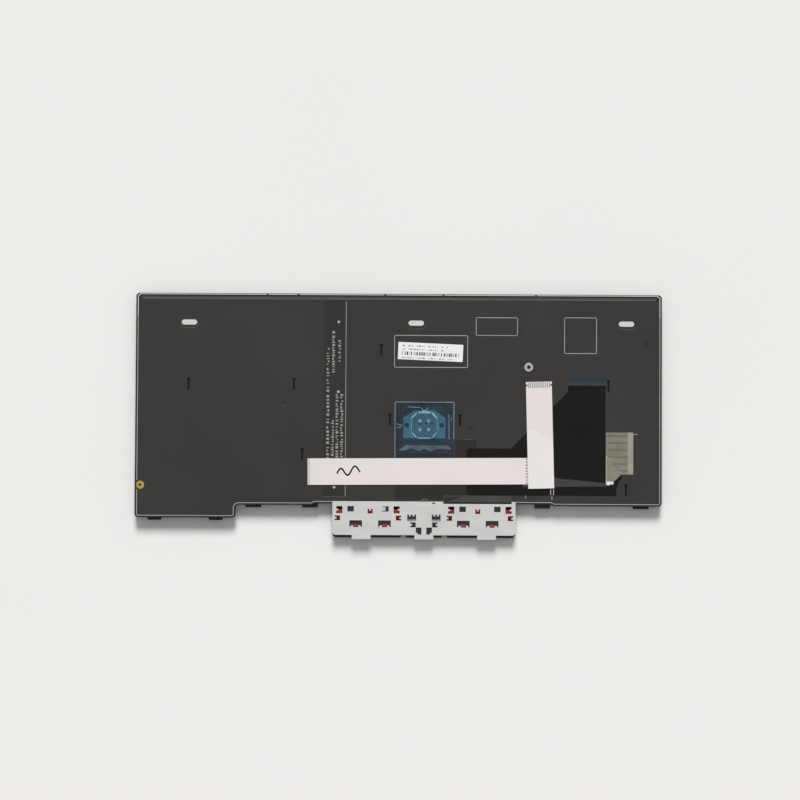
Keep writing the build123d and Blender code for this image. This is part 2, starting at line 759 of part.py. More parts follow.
stick_cap_top = stick_cap_bottom + stick_cap_height
with BuildPart() as stick_cap:
    with BuildSketch(Plane.XY.offset(stick_cap_bottom)):
        with Locations((stick_x, stick_y)):
            RegularPolygon(stick_cap_radius, round_sides)
    extrude(amount=stick_cap_height)
    chamfer(stick_cap.edges().group_by(Axis.Z)[0], stick_cap_edge)
    with BuildSketch(Plane.XY.offset(stick_post_end - fit_clearance)):
        with Locations((stick_x, stick_y)):
            Rectangle(stick_post_size + stick_socket_clearance, stick_post_size + stick_socket_clearance)
    extrude(amount=stick_cap_top - stick_post_end + fit_clearance, mode=Mode.SUBTRACT)
save(stick_cap.part, "stick_cap")

with BuildPart() as stick_film:
    with BuildSketch(Plane.XY.offset(back_z)):
        with Locations((stick_x, window_y)):
            Rectangle(window_width + 2 * stick_film_overlap, window_height + 2 * stick_film_overlap)
    extrude(amount=tape_thickness)
save(stick_film.part, "stick_film")

# Flat cables on the back: white ribbons, and the black flex with its stiffened connector end
with BuildPart() as pointer_ribbon:
    with BuildSketch(Plane.XY.offset(pointer_ribbon_z)):
        with Locations((stick_x + pointer_ribbon_offset[0], stick_y + pointer_ribbon_offset[1])):
            Rectangle(pointer_ribbon_length, pointer_ribbon_width, rotation=pointer_ribbon_turn)
    extrude(amount=ribbon_thickness)
save(pointer_ribbon.part, "pointer_ribbon")

with BuildPart() as backlight_ribbon:
    with BuildSketch(Plane.XY.offset(backlight_ribbon_z)):
        with Locations(Location(place(backlight_ribbon_cell), backlight_ribbon_turn)):
            Rectangle(backlight_ribbon_width, backlight_ribbon_length)
            with Locations((0, backlight_ribbon_length / 2 - ribbon_contact_length)):
                with GridLocations(backlight_ribbon_width, 1, 2, 1):
                    Rectangle(2 * ribbon_notch, ribbon_notch, mode=Mode.SUBTRACT)
    extrude(amount=ribbon_thickness)
save(backlight_ribbon.part, "backlight_ribbon")

flex_end_left = flex_right - flex_end_width
flex_end_bottom = flex_end_top - stiffener_height - flex_end_drop
flex_knee = flex_end_left - (flex_end_bottom - flex_shoulder)
with BuildPart() as flex:
    with BuildSketch(Plane.XY.offset(flex_z)) as flex_face:
        with BuildLine():
            Polyline(
                (flex_left, flex_bottom),
                (flex_left, flex_shoulder),
                (flex_knee, flex_shoulder),
                (flex_end_left, flex_end_bottom),
                (flex_end_left, flex_end_top),
                (flex_right, flex_end_top),
                (flex_right, flex_bottom + flex_foot_height),
                (flex_right + flex_foot, flex_bottom + flex_foot_height),
                (flex_right + flex_foot, flex_bottom),
                close=True,
            )
        make_face()
        fillet(flex_face.vertices().sort_by(Axis.X)[:2], flex_corner)
    extrude(amount=flex_thickness)
save(flex.part, "keyboard_flex")

with BuildPart() as stiffener:
    with BuildSketch(Plane.XY.offset(flex_z + flex_thickness)):
        with Locations((flex_right, flex_end_top)):
            Rectangle(flex_end_width, stiffener_height, align=(Align.MAX, Align.MAX))
    extrude(amount=stiffener_thickness)
save(stiffener.part, "flex_stiffener")

with BuildPart() as part_label:
    with BuildSketch(Plane.XY.offset(back_z)):
        with Locations(place(label_cell)):
            Rectangle(label_width, label_height, rotation=label_turn)
    extrude(amount=label_thickness)
save(part_label.part, "part_label")

# Fasteners: a riveted screw boss on the plate and a brass insert beside the rim
with BuildPart() as boss:
    with BuildSketch(Plane.XY.offset(plate_z)):
        with Locations((boss_x, boss_y)):
            RegularPolygon(boss_neck_radius, round_sides)
    extrude(amount=plate_thickness)
    with BuildSketch(Plane.XY.offset(guide_z)):
        with Locations((boss_x, boss_y)):
            RegularPolygon(boss_radius, round_sides)
    extrude(amount=back_z + boss_stand - guide_z)
    chamfer(boss.edges().group_by(Axis.Z)[-1], boss_stand / 2)
    cut_round(boss_x, boss_y, boss_hole_radius, plate_z, back_z + boss_stand - plate_z)
save(boss.part, "screw_boss")

with BuildPart() as insert:
    with BuildSketch(Plane.XY.offset(membrane_z)):
        with Locations((insert_x, insert_y)):
            Circle(insert_radius)
            Circle(insert_hole_radius, mode=Mode.SUBTRACT)
        with Locations((insert_x - insert_flat, insert_y)):
            Rectangle(insert_radius, 3 * insert_radius, align=(Align.MAX, Align.CENTER), mode=Mode.SUBTRACT)
    extrude(amount=back_z + insert_stand - membrane_z)
save(insert.part, "brass_insert")

# Button switch sheet: pads under the apron, and a tail that folds up through its slot to the back
with BuildPart() as switch_sheet:
    with BuildSketch(Plane.XY.offset(switch_z)):
        with Locations((stick_x, switch_pad_top)):
            Rectangle(middle_pad_width, switch_pad_height, align=(Align.CENTER, Align.MAX))
            Rectangle(2 * side_offset, hook_notch, align=(Align.CENTER, Align.MAX))
            with GridLocations(2 * side_offset, 1, 2, 1):
                Rectangle(switch_pad_width, switch_pad_height, align=(Align.CENTER, Align.MAX))
        for side in (-1, 1):
            with Locations((stick_x + side * tongue_offset, frame_bottom - cup_window_y)):
                Rectangle(cup_window[0] + 2 * film_margin, cup_window[1] + 2 * film_margin,
                          mode=Mode.SUBTRACT)
    extrude(amount=switch_sheet_thickness)
    with BuildSketch(Plane.XY.offset(switch_z)):
        with Locations((stick_x + flap_offset, riser_y)):
            Rectangle(flap_width, switch_sheet_thickness)
    extrude(amount=flex_z + flex_thickness - switch_z)
    with BuildSketch(Plane.XY.offset(flex_z)):
        with Locations((stick_x + flap_offset, riser_y - switch_sheet_thickness / 2)):
            Rectangle(flap_width, flap_length, align=(Align.CENTER, Align.MIN))
    extrude(amount=flex_thickness)
save(switch_sheet.part, "button_switch_sheet")


def add_links(y, places, bottom, top, length, width, bar, turn):
    """Add flat frame-shaped scissor links, tilted about X, to the open part."""
    rise = top - bottom - link_thickness - 2 * fit_clearance
    tilt = turn * degrees(asin(rise / length))
    plane = Plane((0, y, (bottom + top) / 2)).rotated((tilt, 0, 0))
    with BuildSketch(plane) as frames:
        with Locations([(x, 0) for x in places]):
            Rectangle(width, length)
            Rectangle(width - 2 * bar, length - 2 * bar, mode=Mode.SUBTRACT)
    extrude(frames.sketch, amount=link_thickness / 2, both=True)


def support_places(key):
    """Middles of the supports under a key: two under a long bar, one under the others."""
    y = key.y - stick_support_shift if key.name == key_below_stick else key.y
    if key.width < double_support_units * key_pitch:
        return [(key.x, y)]
    return [(key.x - key.width / 4, y), (key.x + key.width / 4, y)]


# Scissor links and rubber domes of the moving keys; the middle button has links of the same kind
moving_keys = [all_keys[name] for name in moving_names]
supports = [place for key in moving_keys for place in support_places(key)]
with BuildPart() as links:
    inner_width = link_width - 2 * (link_bar + link_gap)
    for row_y in sorted({y for x, y in supports}):
        places = [x for x, y in supports if y == row_y]
        add_links(row_y, places, cap_top, membrane_z, link_length, link_width, link_bar, 1)
        add_links(row_y, places, cap_top, membrane_z, link_length, inner_width, link_bar, -1)
    inner_width = middle_link_width - 2 * (link_bar + link_gap)
    add_links(button_links_y, [stick_x], button_ceiling, switch_z, button_link_length, middle_link_width,
              link_bar, 1)
    add_links(button_links_y, [stick_x], button_ceiling, switch_z, button_inner_length, inner_width,
              link_bar, -1)
save(links.part, "scissor_links")

dome_height = membrane_z - cap_top - fit_clearance
with BuildPart() as dome:
    with BuildSketch(Plane.XY.offset(membrane_z)):
        RegularPolygon(dome_radius, dome_sides)
    extrude(amount=-dome_height)
    sides = [face for face in dome.faces() if abs(face.normal_at().Z) < fit_clearance]
    draft(sides, Plane.XY.offset(membrane_z), -dome_taper)
with BuildPart() as domes:
    with Locations(supports):
        add(dome.part)
save(domes.part, "rubber_domes")

# Red scissor links of the left and right pointer buttons
for name, side in (("left_button_links", 1), ("right_button_links", -1)):
    with BuildPart() as button_links:
        x = stick_x + side * side_offset
        inner_width = side_link_width - 2 * (button_link_bar + link_gap)
        add_links(button_links_y, [x], button_ceiling, switch_z, button_link_length, side_link_width,
                  button_link_bar, 1)
        add_links(button_links_y, [x], button_ceiling, switch_z, button_inner_length, inner_width,
                  button_link_bar, -1)
    save(button_links.part, name)


def build_button(x, width):
    """Hollow pointer button, open towards the back, with a plunger for its switch."""
    with BuildPart() as button:
        with BuildSketch(Plane.XY.offset(button_front)) as face:
            with Locations((x, button_y)):
                Rectangle(width, button_depth)
            chamfer(face.vertices(), button_corner)
        extrude(amount=button_height)
        chamfer(button.edges().group_by(Axis.Z)[0], button_edge)
        with BuildSketch(Plane.XY.offset(button_ceiling)):
            with Locations((x, button_y)):
                Rectangle(width - 2 * button_wall, button_depth - 2 * button_wall)
        extrude(amount=button_height, mode=Mode.SUBTRACT)
        with BuildSketch(Plane.XY.offset(button_ceiling)):
            with Locations((x, button_y)):
                Rectangle(plunger_size, plunger_size)
        extrude(amount=switch_z - button_travel - fit_clearance - button_ceiling)
    return button.part


save(build_button(stick_x + side_button_x, side_button_width), "left_button")
save(build_button(stick_x, middle_button_width), "middle_button")
save(build_button(stick_x - side_button_x, side_button_width), "right_button")

# Keycaps: the moving keys by themselves, the others on fixed stems in groups
for name in moving_names:
    save(build_keycap(all_keys[name], stem=False), f"key_{name}")
for group, names in fixed_groups.items():
    with BuildPart() as caps:
        for name in names:
            add(build_keycap(all_keys[name], stem=True))
    save(caps.part, group)
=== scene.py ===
import json
import math
import random

import bmesh
import bpy
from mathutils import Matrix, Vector

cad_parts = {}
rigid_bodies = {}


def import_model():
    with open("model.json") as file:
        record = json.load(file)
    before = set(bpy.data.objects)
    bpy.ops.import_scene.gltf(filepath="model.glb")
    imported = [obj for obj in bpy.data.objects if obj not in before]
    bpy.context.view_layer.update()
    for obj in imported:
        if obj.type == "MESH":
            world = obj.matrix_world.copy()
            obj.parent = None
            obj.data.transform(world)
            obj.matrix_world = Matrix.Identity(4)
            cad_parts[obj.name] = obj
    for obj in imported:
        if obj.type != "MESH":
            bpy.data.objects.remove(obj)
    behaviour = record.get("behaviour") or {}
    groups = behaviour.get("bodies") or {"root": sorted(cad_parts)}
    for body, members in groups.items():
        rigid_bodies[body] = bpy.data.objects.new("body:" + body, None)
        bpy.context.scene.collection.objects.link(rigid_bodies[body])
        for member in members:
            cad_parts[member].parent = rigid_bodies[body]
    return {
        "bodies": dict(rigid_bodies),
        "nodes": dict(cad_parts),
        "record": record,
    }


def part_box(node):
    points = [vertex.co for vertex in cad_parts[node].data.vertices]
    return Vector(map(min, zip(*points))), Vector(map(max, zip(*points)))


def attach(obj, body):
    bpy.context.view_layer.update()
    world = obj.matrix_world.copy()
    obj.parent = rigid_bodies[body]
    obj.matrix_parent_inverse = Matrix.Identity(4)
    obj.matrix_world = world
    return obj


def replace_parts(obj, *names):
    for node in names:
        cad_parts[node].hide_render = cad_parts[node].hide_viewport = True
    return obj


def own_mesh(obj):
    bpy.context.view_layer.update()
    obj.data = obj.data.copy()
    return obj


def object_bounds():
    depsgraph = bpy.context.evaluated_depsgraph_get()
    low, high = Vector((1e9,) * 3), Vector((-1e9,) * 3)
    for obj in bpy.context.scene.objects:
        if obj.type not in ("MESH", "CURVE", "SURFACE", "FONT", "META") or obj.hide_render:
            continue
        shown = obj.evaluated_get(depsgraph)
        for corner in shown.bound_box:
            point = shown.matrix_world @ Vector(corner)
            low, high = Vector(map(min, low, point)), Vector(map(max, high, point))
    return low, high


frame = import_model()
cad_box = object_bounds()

# Looks of the laptop replacement keyboard, which lies on its keycaps with its back up.
# Sizes are in millimetres, places are measured in X and Y from the pointing stick's axis.
MM = 0.001
nodes = frame["nodes"]
slot_of = {subpart["node"]: subpart["material_slot"] for subpart in frame["record"]["subparts"]}
sensor_low, sensor_high = (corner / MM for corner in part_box("stick_sensor"))
stick = Vector(((sensor_low.x + sensor_high.x) / 2, (sensor_low.y + sensor_high.y) / 2))
back_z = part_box("back_film")[1].z / MM

# Camera: straight above, with the photograph's small tilt and turn, over a frame this wide
view_centre = (-13.3, 13.9)
view_width = 442.3
view_distance = 1300.0
view_tilt = 2.0
view_turn = 0.29
sensor_width = 36.0
clip_distance = 20.0

# Light: a broad soft lamp beyond the top edge, an even world, and a pale floor
lamp_elevation = 36.0
lamp_spread = 21.0
lamp_strength = 3.35
world_strength = 0.37
background_strength = 0.93
floor_size = 6000.0
floor_drop = 0.05
floor_colour = (238, 236, 234)

# Surfaces: ends of the colour's ramp in the noise, detail of the noise, depth of the relief in metres,
# and how near points are joined
ramp_ends = (0.3, 0.7)
broad_detail = 3.0
fine_detail = 2.0
relief_depth = 0.0002
weld_distance = 0.001

# Heights below which the sheets are darker: the plate simply darker, the membrane and the switch sheet with
# painted shade deep in their slots and windows
plate_dark_height = 5.3
membrane_shade_height = 5.5

# Print on the back film: thin frames, lines and ticks
print_width = 0.35
print_thickness = 0.012
print_frames = (
    (28.45, 49.9, 51.3, 59.75),
    (77.35, 40.1, 95.05, 59.9),
    (-16.7, 32.05, 23.75, 49.7),
)
window_line_width = 0.27
window_lines = (
    (-16.2, 12.8, -16.2, -18.1),
    (-16.2, 12.8, 16.3, 12.8),
    (16.3, 12.8, 16.3, -7.5),
)
print_lines = (
    (115.8, -4.5, 117.5, -4.5),
    (70.6, -38.5, 70.6, -40.7),
    (56.1, -38.6, 56.1, -39.8),
)
flex_lines = (
    (69.9, -34.9, 69.9, -38.0),
    (71.5, -34.9, 71.5, -38.0),
)
flex_line_width = 0.45
faint_lines = (
    (22.2, -7.8, 27.2, -7.8),
)
faint_width = 0.45
ring_place = (0.25, -42.3)
ring_radius = 1.65
ring_span = (0, 180)

# Marks of the film: faint ledges below the round slots as painted highlights, shallow dimples with a painted
# highlight on one edge, the step along its top edge with a painted sheen, and the ring on the screw boss as
# painted shade of a counterbore
slot_columns = (-130.3, -4.75, 111.65)
slot_row = 56.6
ledge_points = ((-4.65, -1.85), (-3.95, -2.75), (-1.5, -3.2), (3.8, -3.2), (5.1, -1.85))
dimples = (
    (-77.4, 11.6, 0.9),
    (53.2, 51.0, 0.75),
    (25.5, -1.2, 1.6),
    (122.6, 45.5, 1.5),
    (60.1, 36.5, 0.5),
)
dimple_light = (-77.2, 10.4, 0.45)
step_depth = 0.4
step_width = 1.1
boss_ring = (0.85, 1.45)

# Print on the light strip: columns of short dashes as X, top, bottom and gap, and dots
dash_columns = (
    (-53.4, 42.5, -18.4, 1.15),
    (-50.4, 51.8, 29.7, 0.7),
    (-47.1, 46.9, 34.2, 0.75),
    (-50.8, 2.6, -17.8, 0.65),
    (-48.3, 17.0, -17.8, 0.65),
    (-45.7, 17.0, -17.8, 0.75),
)
dash_length = 0.85
dash_width = 1.5
dash_lengths = (0.6, 1.0, 1.0, 1.5)
dash_widths = (0.6, 1.0, 1.0)
dash_gaps = (0.8, 0.8, 1.6)
dash_seed = 7
strip_dots = ((-47.6, 57.0), (-47.6, 18.3), (-49.7, -34.5))
strip_dot_radius = 0.75
strip_line_inset = 0.45
strip_line_width = 0.28

# Label: rows of plain grey bars and a band of upright bars, measured from its middle before it is turned
label_turn = -2.4
label_rows = ((-15.6, 9.0, 2.9), (-15.2, 8.6, 1.0), (-15.8, 13.0, -3.7))
label_bar_height = 0.75
label_widths = (0.4, 0.6, 0.9, 1.3)
label_gaps = (0.5, 0.7, 0.7, 1.9)
label_band = (-15.7, 15.7, -1.3)
label_band_height = 1.9
band_widths = (0.2, 0.3, 0.5, 0.7)
band_gaps = (0.3, 0.45, 0.7, 1.1)
label_seed = 11

# Pointing stick under its clear film: painted highlight on the sensor's rim, marks in its middle, folds of the
# film with painted glints, and painted shade in its corners
rim_width = 0.8
rim_side_width = 0.45
rim_chamfer = 3.2
rim_knob = (-1.3, 7.2, 1.3, 8.2)
spot_reach = 2.4
spot_height = 0.05
spot_radius = 0.95
spot_sides = 12
diamond_sides = 4
mark_places = ((-2.4, 0.6), (0.9, 1.1), (4.1, 1.0))
mark_radius = 0.75
# Outline of a painted glint along the clear film's lower fold
fold_glint_outline = (
    (-14.4, -14.1),
    (-11.1, -14.2),
    (-7.4, -12.7),
    (-2.9, -14.5),
    (-0.3, -13.0),
    (3.6, -14.4),
    (6.7, -13.0),
    (15.2, -13.5),
    (13.2, -11.1),
    (-10.2, -11.0),
)
# Lines of thin painted glints on the film's other folds
glint_lines = (
    (13.5, 5.8, 13.7, -7.5),
    (14.9, 3.8, 14.5, 2.7),
    (-8.6, 10.1, -1.9, 9.7),
    (-1.9, 9.7, -0.7, 8.5),
    (1.8, 9.4, 1.1, 8.4),
    (-15.4, 0.7, -12.4, -0.2),
    (-15.2, -1.3, -13.1, -1.1),
)
glint_line_width = 0.45
film_ripple = 0.05
film_grid = (48, 40)
film_waves = ((0.9, 0.5), (0.35, -0.8))
fold_share = 2.1
# Dark upper corners of the clear film, a painted shade
film_corner_shade = (
    ((-15.8, 12.2), (-10.2, 12.2), (-12.7, 10.3), (-14.1, 7.1), (-14.8, 2.5), (-15.8, 2.5)),
    ((9.5, 12.2), (15.9, 12.2), (15.9, 5.4), (14.1, 7.9), (12.4, 10.2)),
)

# Ribbons with their contacts, painted sheen and pen stroke, the membrane's tail, and folds and painted shine
# of the flex
ribbon_size = (14.3, 59.0)
ribbon_turn = 1.5
ribbon_notch = 0.9
cable_size = (121.8, 14.6)
cable_turn = 0.4
cable_band = 1.6
contact_count = 12
contact_length = 3.0
contact_inset = 0.3
tooth_count = 9
tooth_length = 1.3
tail_gap = 0.2
tail_rise = 11.7
tail_width = 15.0
tail_height = 23.2
tail_border = 0.7
tail_margin = 2.9
track_count = 6
track_width = 1.25
corner_points = ((0.1, 10.4), (8.1, 1.0), (4.6, -4.1), (0.1, -4.4))
corner_pitch = 1.25
corner_dot = 0.42
tab_points = (
    (0.2, -3.9),
    (1.0, -4.3),
    (1.7, -3.9),
    (2.5, -4.3),
    (3.2, -3.9),
    (4.5, -4.5),
    (4.0, -5.3),
    (2.6, -5.4),
    (1.4, -6.1),
    (0.4, -5.7),
)
foot_points = (
    (100.7, -32.75),
    (104.9, -32.5),
    (104.2, -30.9),
    (109.1, -26.7),
    (109.2, -28.8),
    (107.5, -30.2),
    (106.8, -32.8),
    (106.3, -34.35),
    (100.7, -34.35),
)
# Outline of a painted reflection on the flex's folded wedge
wedge_sheen_points = ((54.5, -26.9), (100.3, -31.6), (100.3, -33.3), (54.5, -33.8))
# Outline of a painted sheen on the backlight ribbon, lighter below a diagonal
sheen_points = ((-7.1, 2.8), (-3.5, 2.8), (7.1, -3.1), (7.1, -29.4), (-7.1, -29.4))
stiffener_share = 0.45
stroke_start = (-48.0, -26.6)
stroke_reach = 12.4
stroke_height = 2.1
stroke_turns = 1.6
stroke_width = 0.85
stroke_steps = 24

# Seen in the apron's windows: a pale hook, the crowns' lower bars, the red links' hooks and a dark sheet;
# and above the apron the switch sheet's flap with painted shade on it and along its slot, and a notch painted
# dark as shade
hook_block = (-23.4, -47.3, -21.2, -44.9)
crown_places = (-6.75, 6.75)
crown_bar = (4.4, 0.8)
crown_y = -52.5
tongue_places = (-37.65, -21.75, 21.75, 37.65)
tongue_block = (2.1, 1.6)
tongue_y = -55.55
hook_depth = 0.38
hook_thickness = 0.1
notch_block = (4.5, -43.4, 6.1, -42.7)
flap_shade = ((11.1, -42.4), (11.1, -40.1), (20.3, -39.6), (15.3, -41.4))
flap_corner = ((11.05, -40.1), (20.3, -39.6), (25.0, -39.05), (11.05, -39.05))
flap_edge = (11.1, -42.75, 48.2, -42.3)
foot_block = (-5.6, -60.5, 5.6, -55.5)
foot_depth = 0.55
foot_thickness = 0.14
apron_half = 50.65
flange_top = 60.0


def srgb(red, green, blue):
    """A colour as it is seen on a screen, 0 to 255, as the linear colour that shaders use."""
    values = []
    for channel in (red, green, blue):
        share = channel / 255
        values.append(share / 12.92 if share <= 0.04045 else ((share + 0.055) / 1.055) ** 2.4)
    return (*values, 1.0)


def shade(colour, factor):
    """The colour, lighter or darker."""
    return tuple(max(0, min(255, channel * factor)) for channel in colour)


def add_node(tree, kind, **sockets):
    """A node with the given input sockets set; underscores stand for spaces."""
    node = tree.nodes.new(kind)
    for name, value in sockets.items():
        node.inputs[name.replace("_", " ")].default_value = value
    return node


def surface_noise(tree, scale, detail, stretch):
    """Noise in the frame's own axes, stretched along them."""
    where = add_node(tree, "ShaderNodeTexCoord")
    mapping = add_node(tree, "ShaderNodeMapping", Scale=stretch)
    noise = add_node(tree, "ShaderNodeTexNoise", Scale=scale, Detail=detail)
    tree.links.new(where.outputs["Object"], mapping.inputs["Vector"])
    tree.links.new(mapping.outputs["Vector"], noise.inputs["Vector"])
    return noise.outputs["Fac"]


def varied_colour(tree, fac, colour, spread):
    """A colour that the noise makes a little lighter and darker."""
    ramp = add_node(tree, "ShaderNodeValToRGB")
    ramp.color_ramp.elements[0].position = ramp_ends[0]
    ramp.color_ramp.elements[1].position = ramp_ends[1]
    ramp.color_ramp.elements[0].color = srgb(*shade(colour, 1 - spread))
    ramp.color_ramp.elements[1].color = srgb(*shade(colour, 1 + spread))
    tree.links.new(fac, ramp.inputs["Fac"])
    return ramp.outputs["Color"]


def colour_by_height(tree, upper, lower, height):
    """The upper colour above a height in the frame, the lower one below it."""
    where = add_node(tree, "ShaderNodeTexCoord")
    split = add_node(tree, "ShaderNodeSeparateXYZ")
    above = add_node(tree, "ShaderNodeMath")
    above.operation = "GREATER_THAN"
    above.inputs[1].default_value = height * MM
    mix = add_node(tree, "ShaderNodeMixRGB")
    tree.links.new(where.outputs["Object"], split.inputs["Vector"])
    tree.links.new(split.outputs["Z"], above.inputs[0])
    tree.links.new(above.outputs["Value"], mix.inputs["Fac"])
    tree.links.new(lower, mix.inputs["Color1"])
    tree.links.new(upper, mix.inputs["Color2"])
    return mix.outputs["Color"]


def colour_by_side(tree, inner, outer):
    """The inner colour on the apron and the top edge, the outer one on the plate's other edges."""
    where = add_node(tree, "ShaderNodeTexCoord")
    split = add_node(tree, "ShaderNodeSeparateXYZ")
    shift = add_node(tree, "ShaderNodeMath")
    shift.operation = "SUBTRACT"
    shift.inputs[1].default_value = stick.x * MM
    reach = add_node(tree, "ShaderNodeMath")
    reach.operation = "ABSOLUTE"
    beside = add_node(tree, "ShaderNodeMath")
    beside.operation = "GREATER_THAN"
    beside.inputs[1].default_value = apron_half * MM
    below = add_node(tree, "ShaderNodeMath")
    below.operation = "LESS_THAN"
    below.inputs[1].default_value = (stick.y + flange_top) * MM
    both = add_node(tree, "ShaderNodeMath")
    both.operation = "MULTIPLY"
    mix = add_node(tree, "ShaderNodeMixRGB")
    tree.links.new(where.outputs["Object"], split.inputs["Vector"])
    tree.links.new(split.outputs["X"], shift.inputs[0])
    tree.links.new(shift.outputs["Value"], reach.inputs[0])
    tree.links.new(reach.outputs["Value"], beside.inputs[0])
    tree.links.new(split.outputs["Y"], below.inputs[0])
    tree.links.new(beside.outputs["Value"], both.inputs[0])
    tree.links.new(below.outputs["Value"], both.inputs[1])
    tree.links.new(both.outputs["Value"], mix.inputs["Fac"])
    tree.links.new(inner, mix.inputs["Color1"])
    tree.links.new(outer, mix.inputs["Color2"])
    return mix.outputs["Color"]


def finish_of(name, colour, spread=0.06, scale=60.0, rough=0.5, rough_spread=0.08, grain=900.0, bump=0.1,
              metallic=0.0, specular=0.15, alpha=1.0, stretch=(1.0, 1.0, 1.0), dark=None, edge=None):
    """A surface whose colour, roughness and fine relief vary; grain and scale are per metre."""
    material = bpy.data.materials.new(name)
    material.use_nodes = True
    tree = material.node_tree
    shader = tree.nodes["Principled BSDF"]
    shader.inputs["Metallic"].default_value = metallic
    shader.inputs["Specular IOR Level"].default_value = specular
    shader.inputs["Alpha"].default_value = alpha
    broad = surface_noise(tree, scale, broad_detail, stretch)
    base = varied_colour(tree, broad, colour, spread)
    if edge:
        base = colour_by_side(tree, base, varied_colour(tree, broad, edge, spread))
    if dark:
        base = colour_by_height(tree, base, varied_colour(tree, broad, dark[0], spread), dark[1])
    tree.links.new(base, shader.inputs["Base Color"])
    fine = surface_noise(tree, grain, fine_detail, stretch)
    span = add_node(tree, "ShaderNodeMapRange", To_Min=rough - rough_spread, To_Max=rough + rough_spread)
    tree.links.new(fine, span.inputs["Value"])
    tree.links.new(span.outputs["Result"], shader.inputs["Roughness"])
    relief = add_node(tree, "ShaderNodeBump", Strength=bump, Distance=relief_depth)
    tree.links.new(fine, relief.inputs["Height"])
    tree.links.new(relief.outputs["Normal"], shader.inputs["Normal"])
    return material


finishes = {
    "bezel_plastic": finish_of("bezel_plastic", (38, 38, 38), rough=0.55, bump=0.25, grain=2500.0),
    "plate_steel": finish_of("plate_steel", (200, 199, 197), spread=0.02, rough=0.45, metallic=0.3,
                             grain=1500.0, stretch=(1.0, 6.0, 1.0), edge=(160, 159, 157),
                             dark=((44, 46, 50), plate_dark_height)),
    # The membrane gets painted shade below its height, deep in the slots that show it
    "membrane_film": finish_of("membrane_film", (128, 123, 111), spread=0.05, scale=140.0, rough=0.4,
                               dark=((16, 16, 16), membrane_shade_height)),
    "dome_rubber": finish_of("dome_rubber", (190, 190, 186), rough=0.6),
    "link_plastic": finish_of("link_plastic", (55, 55, 56), rough=0.5),
    "red_plastic": finish_of("red_plastic", (162, 54, 59), rough=0.45),
    "guide_white": finish_of("guide_white", (211, 209, 207), spread=0.02, rough=0.5),
    "black_film": finish_of("black_film", (51, 50, 48), spread=0.05, scale=14.0, rough=0.45, bump=0.05,
                            grain=1200.0),
    "strip_film": finish_of("strip_film", (45, 43, 42), spread=0.05, scale=25.0, rough=0.45, bump=0.05),
    "black_tape": finish_of("black_tape", (39, 38, 37), spread=0.05, scale=40.0, rough=0.6, bump=0.15),
    "bracket_steel": finish_of("bracket_steel", (75, 126, 145), spread=0.1, scale=120.0, rough=0.35,
                               metallic=0.3),
    "sensor_steel": finish_of("sensor_steel", (66, 112, 130), spread=0.1, scale=150.0, rough=0.35,
                              metallic=0.3),
    "cap_rubber": finish_of("cap_rubber", (45, 45, 46), rough=0.8, bump=0.4),
    "blue_film": finish_of("blue_film", (36, 56, 75), spread=0.45, scale=110.0, rough=0.2, rough_spread=0.04,
                           bump=0.02, specular=0.4, alpha=0.32),
    "white_ribbon": finish_of("white_ribbon", (227, 220, 219), spread=0.012, scale=30.0, rough=0.38,
                              bump=0.03),
    "black_flex": finish_of("black_flex", (24, 24, 24), spread=0.06, scale=50.0, rough=0.3, bump=0.04,
                            specular=0.07),
    "blue_stiffener": finish_of("blue_stiffener", (40, 51, 57), spread=0.08, rough=0.4, bump=0.05),
    "label_paper": finish_of("label_paper", (236, 236, 235), spread=0.01, rough=0.55),
    "boss_steel": finish_of("boss_steel", (196, 196, 196), spread=0.04, rough=0.3, metallic=0.9),
    "insert_brass": finish_of("insert_brass", (178, 154, 94), spread=0.12, rough=0.3, metallic=0.9),
    # The switch sheet gets painted shade below its height, under the flap's slot and in the apron's windows
    "switch_film": finish_of("switch_film", (66, 65, 63), spread=0.1, scale=60.0, rough=0.3,
                             dark=((44, 46, 47), membrane_shade_height)),
    "button_plastic": finish_of("button_plastic", (48, 48, 49), rough=0.55, bump=0.25, grain=2500.0),
    "keycap_plastic": finish_of("keycap_plastic", (40, 40, 41), rough=0.6, bump=0.3, grain=3000.0),
}
film_ink = finish_of("film_ink", (165, 165, 162), spread=0.05, rough=0.5)
window_ink = finish_of("window_ink", (154, 160, 159), spread=0.1, scale=120.0, rough=0.5)
# Pale lines: print, and painted highlight on the film's ledges and on a dimple's edge
faint_ink_and_highlight = finish_of("faint_ink_and_highlight", (80, 79, 76), spread=0.05, rough=0.5)
strip_ink = finish_of("strip_ink", (146, 145, 141), spread=0.05, rough=0.5)
dimple_shade = finish_of("dimple_shade", (42, 41, 40), spread=0.05, rough=0.5)
step_sheen = finish_of("step_sheen", (66, 65, 63), spread=0.05, scale=30.0, rough=0.4)
counterbore_shade = finish_of("counterbore_shade", (112, 112, 113), spread=0.08, scale=400.0, rough=0.35)
label_ink = finish_of("label_ink", (150, 152, 156), spread=0.2, scale=300.0, rough=0.6)
# Dark marks: print, and painted shade on the switch sheet's flap, along its slot and in the apron's notch
dark_ink_and_shade = finish_of("dark_ink_and_shade", (34, 34, 36), spread=0.05, rough=0.5)
lower_rim_highlight = finish_of("lower_rim_highlight", (142, 200, 222), spread=0.08, scale=120.0, rough=0.3)
hook_steel = finish_of("hook_steel", (188, 188, 185), spread=0.02, scale=120.0, rough=0.4)
ribbon_edge = finish_of("ribbon_edge", (203, 198, 196), spread=0.012, scale=30.0, rough=0.38)
# Painted highlights on the sensor's rim, with dimmer copies for its lower side and its sides
rim_highlight = finish_of("rim_highlight", (182, 238, 255), spread=0.08, scale=120.0, rough=0.3)
spot_metal = finish_of("spot_metal", (160, 196, 205), spread=0.08, scale=300.0, rough=0.35)
